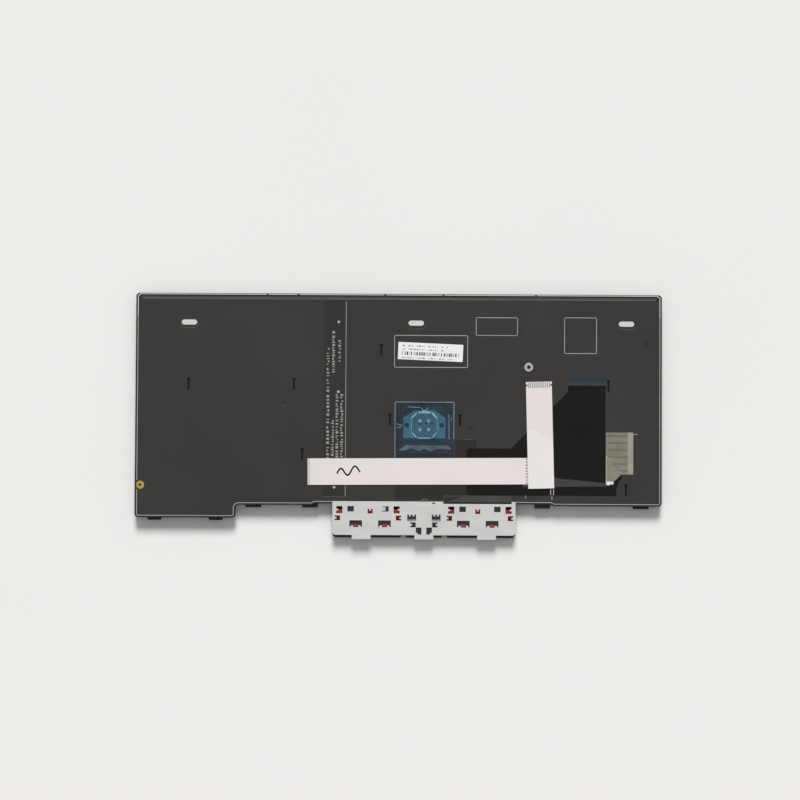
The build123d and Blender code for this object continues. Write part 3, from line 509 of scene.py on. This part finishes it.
# Painted glint on the clear film's lower fold and painted shade in its upper corners
fold_sheen = finish_of("fold_sheen", (78, 91, 98), spread=0.12, scale=160.0, rough=0.25)
corner_shade = finish_of("corner_shade", (41, 46, 48), spread=0.08, scale=120.0, rough=0.3)
side_rim_highlight = finish_of("side_rim_highlight", (122, 180, 202), spread=0.08, scale=120.0, rough=0.3)
glint_sheen = finish_of("glint_sheen", (104, 130, 146), spread=0.15, scale=200.0, rough=0.25)
contact_metal = finish_of("contact_metal", (150, 150, 152), spread=0.1, scale=400.0, rough=0.35,
                          metallic=0.4)
track_ink = finish_of("track_ink", (112, 107, 96), spread=0.06, scale=120.0, rough=0.4)
tail_light = finish_of("tail_light", (152, 148, 137), spread=0.04, scale=120.0, rough=0.4)
corner_light = finish_of("corner_light", (172, 166, 146), spread=0.04, scale=200.0, rough=0.45)
hatch_ink = finish_of("hatch_ink", (56, 55, 46), spread=0.06, scale=200.0, rough=0.45)
ribbon_sheen = finish_of("ribbon_sheen", (232, 227, 225), spread=0.01, scale=30.0, rough=0.3)
stiffener_sheen = finish_of("stiffener_sheen", (54, 59, 62), spread=0.08, scale=60.0, rough=0.35)
wedge_sheen = finish_of("wedge_sheen", (61, 60, 59), spread=0.08, scale=40.0, rough=0.35)
white_film = finish_of("white_film", (226, 226, 222), spread=0.02, scale=120.0, rough=0.4)


def dress(node_name):
    """Give a frame node the finish of its own material slot."""
    data = nodes[node_name].data
    data.materials.clear()
    data.materials.append(finishes[slot_of[node_name]])


def new_piece(name, mesh, material):
    """Turn a mesh into a piece that rides on the chassis."""
    piece = bpy.data.objects.new(name, mesh)
    bpy.context.scene.collection.objects.link(piece)
    mesh.materials.clear()
    mesh.materials.append(material)
    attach(piece, "chassis")
    return piece


def plates_piece(name, outlines, z, material, thickness=print_thickness):
    """Thin flat plates, one for each outline of points from the stick's axis, standing on the height z."""
    mesh = bpy.data.meshes.new(name)
    bm = bmesh.new()
    for outline in outlines:
        points = [stick + Vector(point) for point in outline]
        low = [bm.verts.new((x * MM, y * MM, z * MM)) for x, y in points]
        high = [bm.verts.new((x * MM, y * MM, (z + thickness) * MM)) for x, y in points]
        bm.faces.new(high)
        for index in range(len(points)):
            after = (index + 1) % len(points)
            bm.faces.new((low[index], low[after], high[after], high[index]))
    bmesh.ops.recalc_face_normals(bm, faces=bm.faces)
    bm.to_mesh(mesh)
    bm.free()
    return new_piece(name, mesh, material)


def line_outline(x0, y0, x1, y1, width):
    """Corners of a straight line of that width, with square ends."""
    along = Vector((x1 - x0, y1 - y0)).normalized() * width / 2
    across = Vector((-along.y, along.x))
    start = Vector((x0, y0)) - along
    end = Vector((x1, y1)) + along
    return [start - across, end - across, end + across, start + across]


def block_outline(left, bottom, right, top):
    """Corners of a rectangle."""
    return [Vector((left, bottom)), Vector((right, bottom)), Vector((right, top)), Vector((left, top))]


def centred_outline(x, y, width, height):
    """Corners of a rectangle about its middle."""
    return block_outline(x - width / 2, y - height / 2, x + width / 2, y + height / 2)


def frame_lines(left, bottom, right, top):
    """The four sides of a printed frame."""
    return [(left, bottom, right, bottom), (left, top, right, top), (left, bottom, left, top),
            (right, bottom, right, top)]


def disc_outline(x, y, radius, sides=20):
    """Points round a disc."""
    turns = [2 * math.pi * index / sides for index in range(sides)]
    return [Vector((x + radius * math.cos(turn), y + radius * math.sin(turn))) for turn in turns]


def ring_outlines(middle, inner, outer, sides=24):
    """Four-cornered pieces of a flat ring."""
    turns = [2 * math.pi * index / sides for index in range(sides + 1)]
    rays = [Vector((math.cos(turn), math.sin(turn))) for turn in turns]
    return [[middle + a * inner, middle + a * outer, middle + b * outer, middle + b * inner]
            for a, b in zip(rays, rays[1:])]


def arc_lines(x, y, radius, start, end, steps=10):
    """Short lines along an arc between two angles in degrees."""
    turns = [math.radians(start + (end - start) * index / steps) for index in range(steps + 1)]
    points = [(x + radius * math.cos(turn), y + radius * math.sin(turn)) for turn in turns]
    return [(*a, *b) for a, b in zip(points, points[1:])]


def turned(outlines, middle, degrees):
    """Outlines about the origin, turned and moved to a middle."""
    turn = math.radians(degrees)
    cosine, sine = math.cos(turn), math.sin(turn)
    return [[Vector((x * cosine - y * sine, x * sine + y * cosine)) + middle for x, y in outline]
            for outline in outlines]


def node_box(node_name):
    """Lowest and highest corner of a node from the stick's axis, and its highest z."""
    low, high = (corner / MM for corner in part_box(node_name))
    return low.xy - stick, high.xy - stick, high.z


def within(point, outline):
    """Whether a point lies inside an outline whose corners go round clockwise."""
    sides = zip(outline, outline[1:] + outline[:1])
    return all((b - a).x * (point - a).y - (b - a).y * (point - a).x < 0 for a, b in sides)


def islands_inside(name, source, low, high):
    """Copy of the mesh's separate solids whose middle lies over a box in X and Y."""
    bm = bmesh.new()
    bm.from_mesh(source)
    bmesh.ops.remove_doubles(bm, verts=bm.verts, dist=weld_distance * MM)
    left = set(bm.verts)
    unwanted = []
    while left:
        island = []
        queue = [left.pop()]
        while queue:
            vert = queue.pop()
            island.append(vert)
            for edge in vert.link_edges:
                other = edge.other_vert(vert)
                if other in left:
                    left.remove(other)
                    queue.append(other)
        x = sum(vert.co.x for vert in island) / len(island)
        y = sum(vert.co.y for vert in island) / len(island)
        if not (low.x < x < high.x and low.y < y < high.y):
            unwanted += island
    bmesh.ops.delete(bm, geom=unwanted, context="VERTS")
    mesh = bpy.data.meshes.new(name)
    bm.to_mesh(mesh)
    bm.free()
    return mesh


for node_name in nodes:
    dress(node_name)

# Printed lines of the back film, and its ledges, dimples and step with painted highlight and shade
lines = list(print_lines)
for corners in print_frames:
    lines += frame_lines(*corners)
printed = [line_outline(*line, print_width) for line in lines]
plates_piece("film_print", printed, back_z, film_ink)
# The ledges are pale lines, a painted highlight along their bevels
ledges = [line_outline(*line, faint_width) for line in faint_lines]
for column in slot_columns:
    points = [(column + x, slot_row + y) for x, y in ledge_points]
    ledges += [line_outline(*a, *b, faint_width) for a, b in zip(points, points[1:])]
plates_piece("film_ledges", ledges, back_z, faint_ink_and_highlight)
hollows = [disc_outline(*dimple) for dimple in dimples]
plates_piece("film_dimples", hollows, back_z, dimple_shade)
# A painted highlight on one dimple's edge
plates_piece("dimple_edge", [disc_outline(*dimple_light)], back_z, faint_ink_and_highlight)
sheet_low, sheet_high = node_box("back_film")[:2]
step = block_outline(sheet_low.x + step_width, sheet_high.y - step_width, sheet_high.x - step_width,
                     sheet_high.y)
# The step is lighter than the film, a painted sheen on it
plates_piece("film_step_sheen", [step], back_z - step_depth, step_sheen)
film_low, film_high, film_z = node_box("stick_film")
window_frame = [line_outline(*line, window_line_width) for line in window_lines]
plates_piece("window_print", window_frame, back_z, window_ink,
             film_z - back_z + 3 * print_thickness)
ring = [line_outline(*line, print_width) for line in arc_lines(*ring_place, ring_radius, *ring_span)]
plates_piece("tape_print", ring, node_box("cover_tape")[2], film_ink)
boss_low, boss_high, boss_z = node_box("screw_boss")
boss_middle = (boss_low + boss_high) / 2
# The ring round the boss's hole is painted shade of a counterbore
plates_piece("boss_ring", ring_outlines(boss_middle, *boss_ring), boss_z, counterbore_shade)

# Print of the light strip
strip_low, strip_high, strip_z = node_box("led_strip")
chance = random.Random(dash_seed)
dashes = []
for x, top, bottom, gap in dash_columns:
    y = top
    while y > bottom:
        length = dash_length * chance.choice(dash_lengths)
        width = dash_width * chance.choice(dash_widths)
        side = (dash_width - width) / 2 * chance.choice((-1, 1))
        dashes.append(block_outline(x + side - width / 2, y - length, x + side + width / 2, y))
        y -= length + gap * chance.choice(dash_gaps)
plates_piece("strip_print", dashes, strip_z, strip_ink)
strip_marks = [disc_outline(x, y, strip_dot_radius) for x, y in strip_dots]
strip_side = strip_high.x - strip_line_inset
strip_marks.append(line_outline(strip_side, strip_low.y, strip_side, strip_high.y, strip_line_width))
plates_piece("strip_lines", strip_marks, strip_z, film_ink)
strip_foot = line_outline(strip_low.x, strip_low.y, strip_side, strip_low.y, print_width)
plates_piece("strip_foot", [strip_foot], strip_z, faint_ink_and_highlight)

# Print of the label: bars in place of words
label_low, label_high, label_z = node_box("part_label")
label_middle = (label_low + label_high) / 2
chance = random.Random(label_seed)
bars = []
for left, right, y in label_rows:
    x = left
    while x < right:
        width = chance.choice(label_widths)
        bars.append(block_outline(x, y - label_bar_height / 2, x + width, y + label_bar_height / 2))
        x += width + chance.choice(label_gaps)
plates_piece("label_words", turned(bars, label_middle, label_turn), label_z, label_ink)
bars = []
left, right, y = label_band
while left < right:
    width = chance.choice(band_widths)
    bars.append(block_outline(left, y - label_band_height / 2, left + width, y + label_band_height / 2))
    left += width + chance.choice(band_gaps)
plates_piece("label_band", turned(bars, label_middle, label_turn), label_z, dark_ink_and_shade)

# Pointing stick: painted highlight on the sensor's rim and its dark marks, then the clear film over it with
# its folds, painted glints and painted shade in its corners
# The rim is a painted highlight along the sensor's bevel, brightest on its upper side and dimmer below and at
# the sides
reach = (sensor_high.x - sensor_low.x - rim_width) / 2
cut = reach - rim_chamfer
corners = [(reach, cut), (cut, reach), (-cut, reach), (-reach, cut),
           (-reach, -cut), (-cut, -reach), (cut, -reach), (reach, -cut)]
sides = list(zip(corners, corners[1:] + corners[:1]))
rims = [line_outline(*a, *b, rim_width) for a, b in sides if a[0] != b[0] and a[1] > 0]
face_z = sensor_high.z - spot_height
rims.append(block_outline(*rim_knob))
plates_piece("sensor_rim_highlight", rims, face_z, rim_highlight)
rims = [line_outline(*a, *b, rim_width) for a, b in sides if a[0] != b[0] and a[1] < 0]
plates_piece("sensor_lower_highlight", rims, face_z, lower_rim_highlight)
rim_sides = [line_outline(*a, *b, rim_side_width) for a, b in sides if a[0] == b[0]]
plates_piece("sensor_side_highlight", rim_sides, face_z, side_rim_highlight)
spot_places = (-spot_reach, spot_reach)
spots = [disc_outline(x, y, spot_radius, spot_sides) for x in spot_places for y in spot_places]
plates_piece("sensor_spots", spots, sensor_high.z, spot_metal)
marks = [disc_outline(x, y, mark_radius, diamond_sides) for x, y in mark_places]
plates_piece("sensor_marks", marks, face_z, dark_ink_and_shade)
columns, rows = film_grid
film_mesh = bpy.data.meshes.new("clear_film")
bm = bmesh.new()
grid = []
for row in range(rows + 1):
    line = []
    for column in range(columns + 1):
        u, v = column / columns, row / rows
        x = film_low.x + (film_high.x - film_low.x) * u
        y = film_low.y + (film_high.y - film_low.y) * v
        pinned = math.sin(math.pi * u) * math.sin(math.pi * v)
        ripple = math.prod(math.sin(across * x + along * y) for across, along in film_waves)
        z = film_z + film_ripple * pinned * (1 + ripple)
        line.append(bm.verts.new(((stick.x + x) * MM, (stick.y + y) * MM, z * MM)))
    grid.append(line)
for row in range(rows):
    for column in range(columns):
        face = bm.faces.new((grid[row][column], grid[row][column + 1], grid[row + 1][column + 1],
                             grid[row + 1][column]))
        face.smooth = True
bm.to_mesh(film_mesh)
bm.free()
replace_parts(new_piece("clear_film", film_mesh, finishes["blue_film"]), "stick_film")
fold_rise = fold_share * film_ripple
# Painted glints on the film's folds and painted shade in its upper corners
plates_piece("film_fold_glint", [fold_glint_outline], film_z, fold_sheen, fold_rise)
glints = [line_outline(*line, glint_line_width) for line in glint_lines]
plates_piece("film_glints", glints, film_z, glint_sheen, fold_rise)
plates_piece("film_corner_shade", film_corner_shade, film_z, corner_shade, fold_rise)

# Contacts at the ribbons' ends
ribbon_low, ribbon_high, ribbon_z = node_box("backlight_ribbon")
ribbon_width, ribbon_length = ribbon_size
contact_width = ribbon_width / (2 * contact_count)
contacts = []
for index in range(contact_count):
    x = (index + 0.5 - contact_count / 2) * (ribbon_width - 2 * ribbon_notch) / contact_count
    top = ribbon_length / 2 - contact_inset
    contacts.append(block_outline(x - contact_width / 2, top - contact_length, x + contact_width / 2, top))
plates_piece("ribbon_contacts", turned(contacts, (ribbon_low + ribbon_high) / 2, ribbon_turn), ribbon_z,
             contact_metal)
# A painted sheen on the backlight ribbon, lighter below a diagonal
plates_piece("ribbon_sheen", turned([sheen_points], (ribbon_low + ribbon_high) / 2, ribbon_turn), ribbon_z,
             ribbon_sheen)
cable_low, cable_high, cable_z = node_box("pointer_ribbon")
tooth_pitch = cable_size[1] / tooth_count
teeth = []
for index in range(tooth_count):
    y = (index + 0.5 - tooth_count / 2) * tooth_pitch
    right = cable_size[0] / 2
    teeth.append(block_outline(right - tooth_length, y - tooth_pitch / 4, right, y + tooth_pitch / 4))
plates_piece("cable_contacts", turned(teeth, (cable_low + cable_high) / 2, cable_turn), cable_z, contact_metal)

end = -cable_size[0] / 2
band = block_outline(end, -cable_size[1] / 2, end + cable_band, cable_size[1] / 2)
plates_piece("cable_band", turned([band], (cable_low + cable_high) / 2, cable_turn), cable_z, ribbon_edge)

stroke = []
for index in range(stroke_steps + 1):
    share = index / stroke_steps
    rise = stroke_height * math.sin(2 * math.pi * stroke_turns * share)
    stroke.append((stroke_start[0] + stroke_reach * share, stroke_start[1] + stroke_height * share + rise))
stroke_parts = [line_outline(*a, *b, stroke_width) for a, b in zip(stroke, stroke[1:])]
plates_piece("pen_stroke", stroke_parts, cable_z, dark_ink_and_shade)

# Membrane's tail: printed tracks, a paler edge, a dotted corner and a white tab
flex_low, flex_high, flex_z = node_box("keyboard_flex")
stiffener_low, stiffener_high, stiffener_z = node_box("flex_stiffener")
tail = Vector((stiffener_high.x + tail_gap, flex_low.y + tail_rise))
tracks = []
for index in range(track_count):
    y = tail.y + tail_height * (index + 0.5) / track_count
    tracks.append(block_outline(tail.x + tail_border, y - track_width / 2, tail.x + tail_width - tail_margin,
                                y + track_width / 2))
plates_piece("tail_tracks", tracks, flex_z, track_ink)
edge = block_outline(tail.x + tail_width - tail_margin, tail.y, tail.x + tail_width, tail.y + tail_height)
plates_piece("tail_edge", [edge], flex_z, tail_light)
corner = [Vector(point) for point in corner_points]
plates_piece("tail_corner", [[tail + point for point in corner]], flex_z + print_thickness, corner_light)
dots = []
steps = int((corner[0].y - corner[3].y) / corner_pitch * 2)
for row in range(steps):
    for column in range(steps):
        x = corner[0].x + (column + row % 2 / 2) * corner_pitch
        dot = Vector((x, corner[0].y - row * corner_pitch / 2))
        if within(dot, corner):
            dots.append(disc_outline(*(tail + dot), corner_dot, diamond_sides))
plates_piece("tail_dots", dots, flex_z + 2 * print_thickness, hatch_ink)
tab = [tail + Vector(point) for point in tab_points]
plates_piece("tail_tab", [tab], flex_z + 3 * print_thickness, white_film)

# Painted reflection on the flex's folded wedge, the paler foot of its stiffener, and painted shade on the
# switch sheet's flap
# A painted reflection where the flex folds
plates_piece("flex_wedge_sheen", [wedge_sheen_points], flex_z, wedge_sheen)
plates_piece("flex_foot", [foot_points], back_z, finishes["black_flex"],
             flex_z - back_z + 3 * print_thickness)
pins = [line_outline(*line, flex_line_width) for line in flex_lines]
plates_piece("flex_lines", pins, flex_z, film_ink)
band_top = stiffener_low.y + (stiffener_high.y - stiffener_low.y) * stiffener_share
plates_piece("stiffener_band", [block_outline(*stiffener_low, stiffener_high.x, band_top)], stiffener_z,
             stiffener_sheen)
# Painted shade: a dark wedge on the flap and a dark line along its slot
flap_outlines = [flap_shade, block_outline(*flap_edge)]
flap_z = node_box("button_switch_sheet")[2]
plates_piece("flap_shade", flap_outlines, flap_z, dark_ink_and_shade)
plates_piece("flap_corner", [flap_corner], flap_z, finishes["black_film"])

# What shows in the apron's windows
plates_piece("window_hook", [block_outline(*hook_block)], back_z - hook_depth, hook_steel,
             hook_thickness)
bars = [centred_outline(x, crown_y, *crown_bar) for x in crown_places]
plates_piece("crown_bars", bars, back_z - hook_depth, contact_metal, hook_thickness)
hooks = [centred_outline(x, tongue_y, *tongue_block) for x in tongue_places]
plates_piece("link_hooks", hooks, back_z - hook_depth, finishes["red_plastic"], hook_thickness)
plates_piece("foot_sheet", [block_outline(*foot_block)], back_z - foot_depth, finishes["switch_film"],
             foot_thickness)
# The apron's notch is painted dark as shade
plates_piece("apron_notch", [block_outline(*notch_block)], back_z, dark_ink_and_shade)

# Scissor links and domes as one piece for each key or button
for key_name in sorted(name for name in frame["bodies"] if name != "chassis"):
    low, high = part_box(key_name)
    pressed = "button" in key_name
    sources = ["scissor_links"] if pressed else ["scissor_links", "rubber_domes"]
    if f"{key_name}_links" in nodes:
        sources = [f"{key_name}_links"]
    for source in sources:
        mesh = islands_inside(f"{key_name}_{source}", nodes[source].data, low, high)
        piece = new_piece(f"{key_name}_{source}", mesh, finishes[slot_of[source]])
        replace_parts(piece, source)
        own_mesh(piece)

# Camera
camera_data = bpy.data.cameras.new("camera")
camera_data.sensor_width = sensor_width
camera_data.lens = sensor_width * view_distance / view_width
camera_data.clip_end = clip_distance
camera = bpy.data.objects.new("camera", camera_data)
bpy.context.scene.collection.objects.link(camera)
tilt = math.radians(view_tilt)
target = stick + Vector(view_centre)
camera.location = (target.x * MM, (target.y - view_distance * math.sin(tilt)) * MM,
                   (back_z + view_distance * math.cos(tilt)) * MM)
camera.rotation_euler = (tilt, 0.0, math.radians(view_turn))
bpy.context.scene.camera = camera

# Lamp, world and floor
lamp_data = bpy.data.lights.new("lamp", "SUN")
lamp_data.angle = math.radians(lamp_spread)
lamp_data.energy = lamp_strength
lamp = bpy.data.objects.new("lamp", lamp_data)
bpy.context.scene.collection.objects.link(lamp)
lamp.rotation_euler = (math.radians(lamp_elevation - 90), 0.0, 0.0)

world = bpy.data.worlds.new("world")
bpy.context.scene.world = world
world.use_nodes = True
tree = world.node_tree
even = tree.nodes["Background"]
pale = add_node(tree, "ShaderNodeBackground")
path = add_node(tree, "ShaderNodeLightPath")
seen = add_node(tree, "ShaderNodeMath")
mirrored = add_node(tree, "ShaderNodeMath")
mix = add_node(tree, "ShaderNodeMixShader")
seen.operation = "MAXIMUM"
mirrored.operation = "MAXIMUM"
tree.links.new(path.outputs["Is Camera Ray"], seen.inputs[0])
tree.links.new(path.outputs["Is Transmission Ray"], seen.inputs[1])
tree.links.new(seen.outputs["Value"], mirrored.inputs[0])
tree.links.new(path.outputs["Is Glossy Ray"], mirrored.inputs[1])
tree.links.new(mirrored.outputs["Value"], mix.inputs["Fac"])
tree.links.new(even.outputs["Background"], mix.inputs[1])
tree.links.new(pale.outputs["Background"], mix.inputs[2])
tree.links.new(mix.outputs["Shader"], tree.nodes["World Output"].inputs["Surface"])
for background, strength in ((even, world_strength), (pale, background_strength)):
    background.inputs["Color"].default_value = (1.0, 1.0, 1.0, 1.0)
    background.inputs["Strength"].default_value = strength

floor_mesh = bpy.data.meshes.new("floor")
half = floor_size / 2 * MM
floor_z = cad_box[0].z - floor_drop * MM
floor_mesh.from_pydata([(-half, -half, floor_z), (half, -half, floor_z), (half, half, floor_z),
                        (-half, half, floor_z)], [], [(0, 1, 2, 3)])
floor = bpy.data.objects.new("floor", floor_mesh)
bpy.context.scene.collection.objects.link(floor)
floor_mesh.materials.append(finish_of("floor_paper", floor_colour, spread=0.004, scale=3.0, rough=0.9,
                                      specular=0.05, bump=0.0))

bpy.context.scene.view_settings.view_transform = "Standard"
